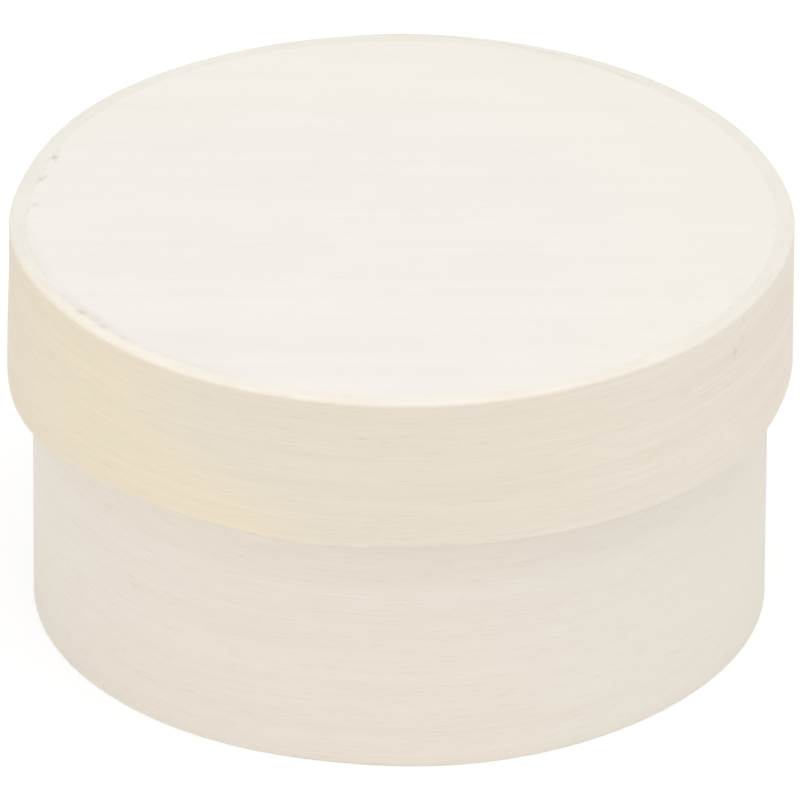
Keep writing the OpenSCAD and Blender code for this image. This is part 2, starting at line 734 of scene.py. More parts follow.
    def film(self) -> Surface:
        """The glue in the lap: a thin film between the ends and before the tip.

        Returns:
            The closed surface.
        """
        lap, hair = self.lap, HAIR / self.outer
        even = np.linspace(-self.half - self.plug, self.outer_end, FILM_STEPS)
        turn = sorted_samples([even, np.array([-self.half - hair, -self.half + hair])], hair / 2)[:, None]
        azimuth = turn + math.radians(lap.azimuth)
        inner = np.where(turn < -self.half, self.inner, self.skived(turn))
        outer = self.ramp(turn, self.inner + lap.step, self.outer + lap.film)
        ragged = lap.ragged.at(azimuth)
        edges = (self.low + lap.margin + ragged, self.high - lap.margin + ragged)
        fine = Corners(*[0.01 * MM] * 4)
        section = Section.eased(self.rows(FILM_ROWS), self.rows(FILM_ROWS), fine, steps=3)
        whole = np.ones_like(turn)
        r, z = section.at((inner, outer), edges, (whole, whole))
        z = z - section.up * self.corners.sunk(self.over(turn) - r)
        return Surface(*swept(r + self.give(azimuth, z, section.across), azimuth, z))


@dataclass
class BodyStrip(BentStrip):
    """The body's strip, whose foot is drawn in a little.

    Attributes:
        sway: Slight unevenness of its rim.
    """

    outer_rows: int = 30
    sway: Wave = Wave(31, 2, 6, 0.05)

    def give(self, azimuth: Array, height: Array, across: Array) -> Array:
        """Inward pull of the foot and an unevenness that grows upwards."""
        share = (height - self.low) / (self.high - self.low)
        return self.sway.at(azimuth) * share - added(self.pulls, azimuth) * (1 - share)

    def tints(self, azimuth: Array, height: Array) -> dict[str, Array | float]:
        """A faint warm cast at the back, and painted sheen: less red wood on the right and the far left
        sides.
        """
        # Painted sheen: wood less red towards the right side and round the far left side.
        fresh = 0.75 * np.maximum(step_up(np.cos(azimuth), 0.1, 0.85), bell(azimuth, 176, 20))
        return {"warm": 0.25 * bell(azimuth, 60, 55), "fresh": fresh, "grey": 0.0}


@dataclass
class LidStrip(BentStrip):
    """The lid's strip: its upper edge leans in at places, and its free edge dips.

    Attributes:
        thinned: Where the upper edge is sanded thinner on its outside.
        drop: How far the free edge is cut below the strip's own height.
        dips: Where that edge is cut deeper still.
        swells: How that edge stands out from the true circle.
    """

    outer_rows: int = 18
    corners: Corners = Corners(low_out=0.22 * MM, top_out=0.45 * MM, top_in=0.02 * MM)
    marks: tuple[Mark, ...] = (
        Mark(328.1, 39.0, 0.4, 0.1, 0.26),
        Mark(329.3, 38.2, 0.3, -0.07, 0.0, 0.8),
        Mark(329.9, 40.1, 0.5, 0.02, 0.06),
        Mark(331.6, 40.7, 0.28, 0.03, 0.1),
        Mark(330.3, 42.0, 0.25, 0.04, 0.17),
        Mark(264.2, 38.9, 0.12, 0.015, 0.16, 7.0),
        Mark(267.6, 38.6, 0.1, 0.012, 0.14, 6.0),
    )
    thinned: tuple[Bell, ...] = (
        Bell(213, 14, 0.36), Bell(255, 14, 0.3), Bell(300, 22, 0.28), Bell(338, 9, 0.2),
    )
    drop: float = 0.22 * MM
    dips: tuple[Bell, ...] = (
        Bell(195, 14, 1.2), Bell(257, 7, 0.3), Bell(316, 22, 0.25), Bell(331, 8, 0.3), Bell(349, 8, -0.4),
    )
    swells: tuple[Bell | Wave, ...] = (Bell(195, 11, 0.16), Wave(32, 2, 6, 0.06))

    def edges(self, azimuth: Array) -> Pair:
        """As for any strip, with the lower edge cut deeper in places."""
        low, high = super().edges(azimuth)
        return low - self.drop - added(self.dips, azimuth), high

    def give(self, azimuth: Array, height: Array, across: Array) -> Array:
        """Lean and wear of the upper edge, and the swells of the free one.

        The lean starts 2 mm above the free edge and is full 2.4 mm below the
        upper one. The swells fade out up to 3 mm below the upper edge.

        Args:
            azimuth: Directions in radians.
            height: Heights in metres.
            across: Shares of the way from the inner to the outer face.

        Returns:
            Outward movement at each point.
        """
        lean = added(self.pulls, azimuth) + across * added(self.thinned, azimuth)
        lean = lean * step_up(height, self.low + 2 * MM, self.high - 2.4 * MM)
        free = 1 - step_up(height, self.low, self.high - 3 * MM)
        return added(self.swells, azimuth) * free - lean

    def tints(self, azimuth: Array, height: Array) -> dict[str, Array | float]:
        """Warm tint, painted light towards the right, and painted shade on the upper edge but along the
        front.

        The warm tint covers the left side and runs out in a tongue along the
        lower front edge.

        Args:
            azimuth: Directions in radians.
            height: Heights in metres.

        Returns:
            Shares of warm wood, painted light and painted shade.
        """
        share = (height - self.low) / (self.high - self.low)
        degrees = np.degrees(azimuth) % 360
        left = step_up(degrees, 95, 140) * (1 - step_up(degrees, 222, 244))
        left = left * (0.55 + 0.35 * step_up(degrees, 188, 214))
        tongue_top = 0.7 - 0.55 * step_up(degrees, 222, 258)
        tongue = (1 - step_up(share - tongue_top, -0.25, 0.25)) * step_up(degrees, 205, 230)
        tongue = tongue * (1 - step_up(degrees, 247, 263))
        # Painted shade: the upper edge greyer away from the front, where less light falls.
        front = step_up(np.cos(azimuth - math.radians(258)), 0.2, 0.95)
        # Painted light: paler wood towards the right.
        fresh = 0.58 * step_up(np.cos(azimuth), 0.0, 0.8)
        return {"warm": np.clip(np.maximum(left, tongue), 0, 1), "fresh": fresh, "grey": 0.45 * (1 - front)}


@dataclass
class BoardDisc:
    """Thin flat board that closes a band.

    Attributes:
        radius: Radius of the disc.
        face: Height of its outer face.
        thickness: Thickness of the board.
        facing: Which way the outer face looks.
        press: How far its outer edge is pressed out against the band.
        ease: Radius of its worn edges.
        marks: Dents in its outer face, near the edge.
        pulls: Where its ring is drawn in.
        yellowing: How much it has yellowed along its edge on one side, from 0 to 1.
        yellow_side: Direction of that side, in degrees.
        ragged: Unevenness of its pressed edge.
        steps: Even steps round it.
    """

    radius: float
    face: float
    thickness: float
    facing: Facing
    press: float
    ease: float
    marks: tuple[Mark, ...]
    pulls: tuple[Bell, ...]
    yellowing: float
    yellow_side: float = 45.0
    ragged: Wave = Wave(41, 40, 170, 0.012)
    steps: int = 640

    def profile(self) -> Array:
        """Half section from the middle of the outer face round to the inner one.

        Returns:
            Rows of radius, depth below the outer face and share of cut edge.
        """
        ease, edge = self.ease, self.radius - self.ease
        near = edge - np.array([1.3, 1.0, 0.8, 0.6, 0.45, 0.3, 0.2, 0.12, 0.05]) * MM
        flat = np.concatenate([np.linspace(0.06, 0.95, 14) * edge, near])
        side = np.array([0.15, 0.3, 0.4, 0.5, 0.6, 0.9, 1.4]) * MM
        arc = np.linspace(0, math.pi / 2, 4)
        sine, cosine = np.sin(arc), np.cos(arc)
        return joined_runs([
            (flat, 0, 0),
            (edge + ease * sine, ease * (1 - cosine), sine),
            (self.radius, side, 1),
            (edge + ease * cosine, self.thickness - ease * (1 - sine), cosine),
            (flat[::-1], self.thickness, 0),
        ])

    def surface(self) -> Surface:
        """The disc: its half section turned about the axis.

        Near the outer face the edge is pressed out by a set amount, less a small
        random wave: from 0.9 mm inside the edge, and down to 0.6 mm below the
        face. Each mark sinks a bell-shaped dent into the outer face.

        Returns:
            The closed surface with masks of its cut edge, its dirt and its tint.
        """
        groups = [once_round(self.steps)] + [mark.samples(self.radius) % FULL_TURN for mark in self.marks]
        turn = sorted_samples(groups, LEAST / self.radius)[:, None]
        r, depth, cut = self.profile()
        near_rim = step_up(r, self.radius - 0.9 * MM, self.radius - 0.1 * MM)
        lip = near_rim * (1 - step_up(depth, 0.35 * MM, 0.6 * MM))
        pressed = lip * (self.press - np.abs(self.ragged.at(turn)))
        radius = r + pressed - added(self.pulls, turn) * r / self.radius
        dent, dirt = dents(self.marks, turn, self.radius - r, self.radius)
        outside = 1 - step_up(depth, 0.02 * MM, 1.0 * MM)
        z = self.face + self.facing.value * (depth + outside * dent)

        count, across = radius.shape
        quads = grid_quads(count, across, close_rows=True, close_columns=False)[:, TURNED]
        hub, here = np.full(count, count * across), np.arange(count) * across
        after, inmost = np.roll(here, -1), across - 1
        fans = np.concatenate([
            np.stack([hub, here, after], -1),
            np.stack([hub + 1, after + inmost, here + inmost], -1),
        ])
        if self.facing is Facing.DOWN:
            quads, fans = quads[:, ::-1], fans[:, ::-1]
        poles = np.array([[0, 0, self.face], [0, 0, self.face + self.facing.value * self.thickness]])
        towards = 0.5 + 0.5 * np.cos(turn - math.radians(self.yellow_side))
        masks = {
            "cut": np.broadcast_to(cut, radius.shape),
            "dirt": outside * dirt,
            "warm": self.yellowing * towards * step_up(r / self.radius, 0.3, 1.0),
        }
        traits = {key: np.append(mask, [0.0, 0.0]) for key, mask in masks.items()}
        return Surface(np.concatenate([about_axis(radius, turn, z), poles]), [quads, fans], traits)


@dataclass
class GlueRing:
    """Glue round a disc: a film in its gap and a hollow fillet inside.

    Attributes:
        disc: The disc.
        band_radius: Inner radius of the band.
        fillet: Leg of the fillet.
        swell: How that leg grows and shrinks.
        joint: Depth from the disc's outer face to the glue.
        steps: Even steps round it.
    """

    disc: BoardDisc
    band_radius: float
    fillet: float
    swell: Wave
    joint: float = 0.6 * MM
    steps: int = 360

    def surface(self) -> Surface:
        """The ring: its section carried round the disc.

        The section goes down the band to the fillet's foot, along a hollow
        curve to the disc, and back up the disc's edge. Along that curve it is
        share times the leg in from the band and 1 - share times it down.

        Returns:
            The closed surface.
        """
        disc, gap = self.disc, self.band_radius
        turn = once_round(self.steps)[:, None]
        leg = self.fillet + self.swell.at(turn)
        even = np.array([0.0, 0.015, 0.05, 0.14, 0.3, 0.5, 0.7, 0.86, 0.95, 0.985, 1.0])
        share = even + 0.14 * np.sin(math.pi * even)
        middle = (self.joint + disc.thickness) / 2
        r, leg_in, depth, leg_down = joined_runs([
            (gap, 0, [self.joint, middle], 0),
            (gap - (gap - disc.radius) * share, share, disc.thickness, 1 - share),
            (disc.radius, 0, [disc.thickness, middle, self.joint], 0),
        ])
        r = r - leg * leg_in - added(disc.pulls, turn)
        z = disc.face + disc.facing.value * (depth + leg * leg_down)
        quads = grid_quads(*r.shape, close_rows=True)
        if disc.facing is Facing.UP:
            quads = quads[:, ::-1]
        return Surface(about_axis(r, turn, z), [quads])


# Finishes


class Graph:
    """Adds nodes to one tree and wires them."""

    def __init__(self, tree: bpy.types.NodeTree) -> None:
        """Keeps the tree that the nodes go into."""
        self.tree = tree

    @classmethod
    def emptied(cls, owner: bpy.types.Material | bpy.types.World) -> "Graph":
        """Graph of a material's or a world's own tree, cleared first.

        Args:
            owner: The material or world.

        Returns:
            The graph.
        """
        owner.use_nodes = True
        owner.node_tree.nodes.clear()
        return cls(owner.node_tree)

    def node(self, kind: str, feeds: Feeds | None = None, **settings: object) -> bpy.types.Node:
        """New node of a kind, with its properties set and its inputs fed.

        Args:
            kind: Blender's name for the node.
            feeds: Input's name or number to socket, number or colour.
            **settings: Properties of the node.

        Returns:
            The node.
        """
        made = self.tree.nodes.new(kind)
        for key, value in settings.items():
            setattr(made, key, value)
        for key, value in (feeds or {}).items():
            self.feed(made.inputs[key], value)
        return made

    def feed(self, socket: Socket, value: object) -> None:
        """Wires another node's output to an input, or sets a plain number or colour.

        Args:
            socket: The input.
            value: Socket, number or colour.
        """
        if isinstance(value, bpy.types.NodeSocket):
            self.tree.links.new(value, socket)
        else:
            socket.default_value = (*value, 1.0) if isinstance(value, tuple) else value

    def math(self, operation: str, *values: object) -> Socket:
        """Sum, product or other arithmetic of sockets and numbers."""
        return self.node("ShaderNodeMath", dict(enumerate(values)), operation=operation).outputs[0]

    def times(self, first: object, second: object) -> Socket:
        """Product of two sockets or numbers."""
        return self.math("MULTIPLY", first, second)

    def mix(self, share: object, first: object, second: object) -> Socket:
        """Colour that goes from the first to the second as share rises to 1."""
        return self.node("ShaderNodeMix", {0: share, 6: first, 7: second}, data_type="RGBA").outputs[2]

    def layered(self, colour: Socket, layers: tuple[tuple[Socket, object], ...]) -> Socket:
        """Colour under layers of other colours, each laid on by its own mask.

        Args:
            colour: The lowest colour.
            layers: Mask and colour of each layer, from below.

        Returns:
            The colour on top.
        """
        for mask, over in layers:
            colour = self.mix(mask, colour, over)
        return colour

    def spread(self, value: Socket, start: float, end: float) -> Socket:
        """Value between 0 and 1 carried smoothly to the range start to end."""
        return self.ramp(value, 0.0, 1.0, start, end)

    def ramp(self, value: Socket, low: object, high: object, start: float = 0, end: float = 1) -> Socket:
        """Value carried smoothly from the range low to high to the range start to end."""
        feeds = dict(enumerate((value, low, high, start, end)))
        return self.node("ShaderNodeMapRange", feeds, interpolation_type="SMOOTHSTEP").outputs[0]

    def attribute(self, name: str, output: str = "Fac") -> Socket:
        """Output of the piece's own attribute of that name."""
        return self.node("ShaderNodeAttribute", attribute_name=name).outputs[output]

    def place_on_object(self) -> Socket:
        """The piece's own coordinates in metres."""
        return self.node("ShaderNodeTexCoord").outputs["Object"]

    def call(self, group: bpy.types.NodeTree, **values: object) -> Socket:
        """Output of a shared effect that is placed with its own values."""
        return self.node("ShaderNodeGroup", values, node_tree=group).outputs[0]

    def shade(self, colour: Socket, roughness: Socket, height: Socket, depth: float, gloss: float) -> None:
        """Ends a material in a surface shader with relief.

        Args:
            colour: Its base colour.
            roughness: Its roughness.
            height: Height of the relief, between 0 and 1.
            depth: What a height of 1 stands for, in metres.
            gloss: Its specular level.
        """
        relief = self.node("ShaderNodeBump", {"Strength": 1.0, "Distance": depth, "Height": height})
        feeds = {"Base Color": colour, "Roughness": roughness, "Normal": relief.outputs[0]}
        shader = self.node("ShaderNodeBsdfPrincipled", {**feeds, "Specular IOR Level": gloss})
        self.node("ShaderNodeOutputMaterial", {"Surface": shader.outputs[0]})


class WoodEffects:
    """Shared effects of raw wood, each a node group that is built once."""

    def __init__(self) -> None:
        """Builds the groups."""
        self.streaks = self.build_streaks()
        self.dashes = self.build_dashes()
        self.clouds = self.build_clouds()

    @staticmethod
    def new_group(name: str, numbers: tuple[str, ...], output: str) -> tuple[Graph, Sockets, Socket]:
        """Empty group that takes a place and some numbers and gives one value.

        Args:
            name: Name of the group.
            numbers: Names of its number inputs.
            output: Name of its output.

        Returns:
            The graph to fill, its inputs by name and the output to feed.
        """
        tree = bpy.data.node_groups.new(name, "ShaderNodeTree")
        tree.interface.new_socket("Place", in_out="INPUT", socket_type="NodeSocketVector")
        for key in numbers:
            tree.interface.new_socket(key, in_out="INPUT", socket_type="NodeSocketFloat")
        tree.interface.new_socket(output, in_out="OUTPUT", socket_type="NodeSocketFloat")
        graph = Graph(tree)
        entry, exit_ = graph.node("NodeGroupInput"), graph.node("NodeGroupOutput")
        return graph, {s.name: s for s in entry.outputs if s.name}, exit_.inputs[0]

    @staticmethod
    def noise(graph: Graph, place: Socket, detail: float, roughness: float) -> Socket:
        """Cloudy noise of unit grain size over a place."""
        feeds = {"Vector": place, "Scale": 1.0, "Detail": detail, "Roughness": roughness}
        return graph.node("ShaderNodeTexNoise", feeds).outputs[0]

    @staticmethod
    def stretched(graph: Graph, given: Sockets) -> Socket:
        """Place divided by Along in the grain's direction and by Across in the others.

        Args:
            graph: The group's graph.
            given: The group's inputs.

        Returns:
            The stretched place.
        """
        parts = graph.node("ShaderNodeSeparateXYZ", {0: given["Place"]}).outputs
        sizes = (given["Along"], given["Across"], given["Across"])
        feeds = {i: graph.math("DIVIDE", *pair) for i, pair in enumerate(zip(parts, sizes))}
        return graph.node("ShaderNodeCombineXYZ", feeds).outputs[0]

    def build_streaks(self) -> bpy.types.NodeTree:
        """Fibres: noise drawn out along the grain.

        Returns:
            The group.
        """
        graph, given, out = self.new_group("fibre_streaks", ("Along", "Across"), "Tone")
        fibre = self.noise(graph, self.stretched(graph, given), 3.0, 0.6)
        graph.feed(out, graph.ramp(fibre, 0.28, 0.72))
        return graph.tree

    def build_dashes(self) -> bpy.types.NodeTree:
        """Open vessels: the few highest crests of drawn-out noise.

        Returns:
            The group.
        """
        graph, given, out = self.new_group("vessel_dashes", ("Along", "Across", "Level"), "Mask")
        crest = self.noise(graph, self.stretched(graph, given), 1.0, 0.4)
        graph.feed(out, graph.ramp(crest, given["Level"], graph.math("ADD", given["Level"], 0.09)))
        return graph.tree

    def build_clouds(self) -> bpy.types.NodeTree:
        """Broad soft patches of tone: noise of one size in all directions.

        Returns:
            The group.
        """
        graph, given, out = self.new_group("soft_clouds", ("Size",), "Tone")
        feeds = {0: given["Place"], "Scale": graph.math("DIVIDE", 1.0, given["Size"])}
        place = graph.node("ShaderNodeVectorMath", feeds, operation="SCALE").outputs[0]
        graph.feed(out, graph.ramp(self.noise(graph, place, 2.0, 0.5), 0.3, 0.7))
        return graph.tree


@dataclass(frozen=True)
class Grain:
    """Sizes of a wood's grain, along it and across it.

    Attributes:
        broad: Sizes of the broad streaks.
        fine: Sizes of the fibres.
        vessel: Sizes of the open vessels.
        level: Height of the noise, from 0 to 1, at which a vessel opens.
        patch: Size of the soft patches.
    """

    broad: tuple[float, float]
    fine: tuple[float, float]
    vessel: tuple[float, float]
    level: float
    patch: float

    def laid(self, graph: Graph, wood: WoodEffects, place: Socket) -> tuple[Socket, ...]:
        """Lays the grain over a place whose first coordinate runs along it.

        Args:
            graph: The material's graph.
            wood: The shared effects.
            place: The place.

        Returns:
            Streaks, fibres, vessels and patches, each from 0 to 1.
        """
        broad, fine, vessel = (
            {"Place": place, "Along": along, "Across": across}
            for along, across in (self.broad, self.fine, self.vessel)
        )
        vessels = graph.call(wood.dashes, **vessel, Level=self.level)
        patches = graph.call(wood.clouds, Place=place, Size=self.patch)
        return graph.call(wood.streaks, **broad), graph.call(wood.streaks, **fine), vessels, patches


@dataclass(frozen=True)
class ChipFinish:
    """Raw rotary-cut chip, with fibres that run along the strip.

    Attributes:
        pale: Colour of the pale fibres.
        deep: Colour of the darker fibres.
        warm: Colour of the heartwood tint.
        fresh: Colour of painted light, paler and less red wood where light falls on the sides.
        cut: Colour of the cut edges.
        inside: Colour of the inner face.
        vessel: Colour of the open vessels.
        grey: Colour of the painted shade on the upper edge, away from the front.
        tan: Colour of that painted shade where there is painted light too.
        grain: Sizes of the grain.
        roughness: Roughness of the pale and of the darker fibres.
        relief: Depth of its relief.
    """

    pale: Colour
    deep: Colour
    warm: Colour
    fresh: Colour
    cut: Colour
    inside: Colour = (0.82, 0.745, 0.62)
    vessel: Colour = (0.62, 0.53, 0.41)
    grey: Colour = (0.77, 0.778, 0.725)
    tan: Colour = (0.77, 0.718, 0.656)
    grain: Grain = Grain((110 * MM, 2.4 * MM), (12 * MM, 0.26 * MM), (2.6 * MM, 0.14 * MM), 0.62, 9 * MM)
    roughness: tuple[float, float] = (0.6, 0.76)
    relief: float = 0.014 * MM

    def material(self, name: str, wood: WoodEffects) -> bpy.types.Material:
        """Builds the material.

        Args:
            name: Name of the material.
            wood: The shared effects.

        Returns:
            The material.
        """
        made = bpy.data.materials.new(name)
        graph = Graph.emptied(made)
        broad, fine, vessels, patches = self.grain.laid(graph, wood, graph.attribute("place", "Vector"))
        masks = ("fresh", "warm", "inside", "cut", "grey", "dirt")
        fresh, warm, inside, cut, grey, dirt = map(graph.attribute, masks)
        tone = graph.math("MULTIPLY_ADD", broad, 0.45, graph.times(fine, 0.55))
        tinted = graph.mix(graph.times(tone, 0.7), self.warm, self.deep)
        colour = graph.layered(graph.mix(tone, self.pale, self.deep), (
            # Painted light on the sides of the box
            (fresh, graph.mix(tone, self.fresh, self.pale)),
            (graph.times(warm, graph.spread(broad, 0.85, 1.0)), tinted),
            (graph.times(inside, 0.7), self.inside),
            (graph.times(cut, graph.spread(patches, 0.7, 1.0)), self.cut),
            # Painted shade on the upper edge, away from the front
            (grey, graph.mix(fresh, self.grey, self.tan)),
            (graph.times(vessels, 0.16), self.vessel),
            (dirt, DIRT),
        ))
        height = graph.math("MULTIPLY_ADD", fine, 0.6, graph.times(broad, 0.25))
        height = graph.math("SUBTRACT", height, graph.times(vessels, 0.4))
        graph.shade(colour, graph.spread(tone, *self.roughness), height, self.relief, WOOD_GLOSS)
        return made


@dataclass(frozen=True)
class BoardFinish:
    """Raw sanded board with faint straight grain from left to right.

    Attributes:
        pale: Colour of the pale grain.
        deep: Colour of the darker grain.
        warm: Colour of the yellowed wood.
        cut: Colour of the sawn edge.
        vessel: Colour of the open vessels.
        grain: Sizes of the grain.
        roughness: Roughness of the pale and of the darker grain.
        relief: Depth of its relief.
    """

    pale: Colour
    deep: Colour
    warm: Colour
    cut: Colour
    vessel: Colour
    grain: Grain = Grain((130 * MM, 4.5 * MM), (14 * MM, 0.3 * MM), (3 * MM, 0.15 * MM), 0.63, 14 * MM)
    roughness: tuple[float, float] = (0.62, 0.74)
    relief: float = 0.01 * MM

    def material(self, name: str, wood: WoodEffects) -> bpy.types.Material:
        """Builds the material.

        Args:
            name: Name of the material.
            wood: The shared effects.

        Returns:
            The material.
        """
        made = bpy.data.materials.new(name)
        graph = Graph.emptied(made)
        broad, fine, vessels, patches = self.grain.laid(graph, wood, graph.place_on_object())
        tone = graph.math("MULTIPLY_ADD", broad, 0.4, graph.times(fine, 0.35))
        tone = graph.math("MULTIPLY_ADD", patches, 0.25, tone)
        colour = graph.layered(graph.mix(tone, self.pale, self.deep), (
            (graph.attribute("warm"), self.warm),
            (graph.attribute("cut"), self.cut),
            (graph.times(vessels, 0.12), self.vessel),
            (graph.attribute("dirt"), DIRT),
        ))
        height = graph.math("MULTIPLY_ADD", fine, 0.6, graph.times(vessels, -0.4))
        graph.shade(colour, graph.spread(tone, *self.roughness), height, self.relief, WOOD_GLOSS)
        return made


@dataclass(frozen=True)
class GlueFinish:
    """Hardened wood glue, amber and a little cloudy.

    Attributes:
        clear: Colour of the thin glue.
        thick: Colour of the thick glue.
        cloud: Size of its clouds.
        ripple: Size of its ripples.
        roughness: Roughness in the hollows and on the crests of the ripples.
        relief: Depth of the ripples.
    """

    clear: Colour
    thick: Colour
    cloud: float = 4 * MM
    ripple: float = 0.9 * MM
    roughness: tuple[float, float] = (0.28, 0.5)
    relief: float = 0.02 * MM

    def material(self, name: str, wood: WoodEffects) -> bpy.types.Material:
        """Builds the material.

        Args:
            name: Name of the material.
            wood: The shared effects.

        Returns:
            The material.
        """
        made = bpy.data.materials.new(name)
        graph = Graph.emptied(made)
        place = graph.place_on_object()
        clouds = graph.call(wood.clouds, Place=place, Size=self.cloud)
        ripples = graph.call(wood.clouds, Place=place, Size=self.ripple)
        colour = graph.mix(clouds, self.clear, self.thick)
        graph.shade(colour, graph.spread(ripples, *self.roughness), ripples, self.relief, GLUE_GLOSS)
        return made


def all_finishes() -> dict[Slot, bpy.types.Material]:
    """Builds the object's materials.

    Returns:
        The material of each slot.
    """
    wood = WoodEffects()
    finishes = {
        # In each chip finish, the colour given after warm is painted light on the sides of the box.
        Slot.BODY_CHIP: ChipFinish(
            pale=(0.868, 0.803, 0.715), deep=(0.822, 0.755, 0.662), warm=(0.85, 0.765, 0.63),
            fresh=(0.84, 0.81, 0.745), cut=(0.86, 0.785, 0.675),
        ),
        Slot.LID_CHIP: ChipFinish(
            pale=(0.83, 0.76, 0.65), deep=(0.785, 0.71, 0.592), warm=(0.897, 0.782, 0.58),
            fresh=(0.902, 0.836, 0.748), cut=(0.924, 0.868, 0.778),
        ),
        Slot.LID_BOARD: BoardFinish(
            pale=(0.905, 0.868, 0.815), deep=(0.862, 0.822, 0.768), warm=(0.882, 0.843, 0.745),
            cut=(0.86, 0.80, 0.71), vessel=(0.72, 0.66, 0.58),
        ),
        Slot.BOTTOM_BOARD: BoardFinish(
            pale=(0.87, 0.825, 0.755), deep=(0.81, 0.755, 0.67), warm=(0.83, 0.77, 0.66),
            cut=(0.80, 0.73, 0.62), vessel=(0.66, 0.58, 0.47),
        ),
        Slot.GLUE: GlueFinish(clear=(0.80, 0.72, 0.56), thick=(0.73, 0.62, 0.43)),
    }
    return {slot: finish.material(slot.value, wood) for slot, finish in finishes.items()}


# Sub-assemblies


@dataclass(frozen=True)
class Piece:
    """One named piece and the solid that it stands for.

    Attributes:
        name: Name of the piece.
        node: Name of the solid.
        slot: Slot that its finish belongs to.
    """

    name: str
    node: str
    slot: Slot

    def make(self, surface: Surface, body: Body, finishes: dict[Slot, bpy.types.Material]) -> None:
        """Makes the piece, gives it its finish and puts it in the solid's place.

        Args:
            surface: Its shape.
            body: Body that it rides on.
            finishes: Material for each slot.
        """
        made = surface.to_object(self.name)
        made.data.materials.append(finishes[self.slot])
        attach(made, body.value)
        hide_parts(self.node)
        LOG.info("%s: %d points in place of %s", self.name, len(surface.points), self.node)


@dataclass
class ClosedRing:
    """A bent strip, the glue in its lap, the disc that closes it and the glue round that.

    Attributes:
        body: Body that the pieces ride on.
        wall: The strip.
        film: Its lap's glue.
        board: The disc.
        bead: Its glue.
        strip_kind: Class of the strip.
        lap: The strip's overlap.
        facing: Which way the disc's outer face looks.
        press: How far the disc's outer edge is pressed out against the strip.
        ease: Radius of the disc's worn edges.
        fillet: Leg of the glue's fillet.
        swell: How that leg grows and shrinks.
        pulls: Where the ring is drawn in at the disc.
        chip: Thickness of the strip.
        board_marks: Dents near the disc's edge.
        yellowing: How much the disc has yellowed, from 0 to 1.
    """

    body: Body
    wall: Piece
    film: Piece
    board: Piece
    bead: Piece
    strip_kind: type[BentStrip]
    lap: Lap
    facing: Facing
    press: float
    ease: float
    fillet: float
    swell: Wave
    pulls: tuple[Bell, ...]
    chip: float = 1.8 * MM
    board_marks: tuple[Mark, ...] = ()
    yellowing: float = 0.0

    def build(self, finishes: dict[Slot, bpy.types.Material]) -> None:
        """Builds and dresses the four pieces, at the places of their solids.

        Args:
            finishes: Material for each slot.
        """
        low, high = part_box(self.wall.node)
        disc_low, disc_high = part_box(self.board.node)
        outer, inner = -low.y, -low.y - self.chip
        strip = self.strip_kind(inner, outer, low.z, high.z, self.lap, self.pulls, self.board_marks)
        face = disc_high.z if self.facing is Facing.UP else disc_low.z
        disc = BoardDisc(
            disc_high.x, face, disc_high.z - disc_low.z, self.facing, self.press, self.ease,
            self.board_marks, self.pulls, self.yellowing,
        )
        bead = GlueRing(disc, inner, self.fillet, self.swell)
        surfaces = (strip.surface(), strip.film(), disc.surface(), bead.surface())
        for piece, surface in zip((self.wall, self.film, self.board, self.bead), surfaces):
            piece.make(surface, self.body, finishes)


@dataclass
class BodyAssembly(ClosedRing):
    """The body: its ring is drawn in at the foot."""

    body: Body = Body.BOX
    wall: Piece = Piece("body_wall", "body_band", Slot.BODY_CHIP)
    film: Piece = Piece("body_lap_film", "body_lap_glue", Slot.GLUE)
    board: Piece = Piece("bottom_board", "bottom_disc", Slot.BOTTOM_BOARD)
    bead: Piece = Piece("bottom_bead", "bottom_glue", Slot.GLUE)
    strip_kind: type[BentStrip] = BodyStrip
    lap: Lap = Lap(azimuth=110)
    facing: Facing = Facing.DOWN
    press: float = 0.1 * MM
    ease: float = 0.06 * MM
    fillet: float = 1.2 * MM
    swell: Wave = Wave(51, 3, 22, 0.144)
    pulls: tuple[Bell, ...] = (
        Bell(225, 20, 0.1), Bell(258, 10, 0.3), Bell(285, 12, -0.15), Bell(320, 24, 0.4),
    )


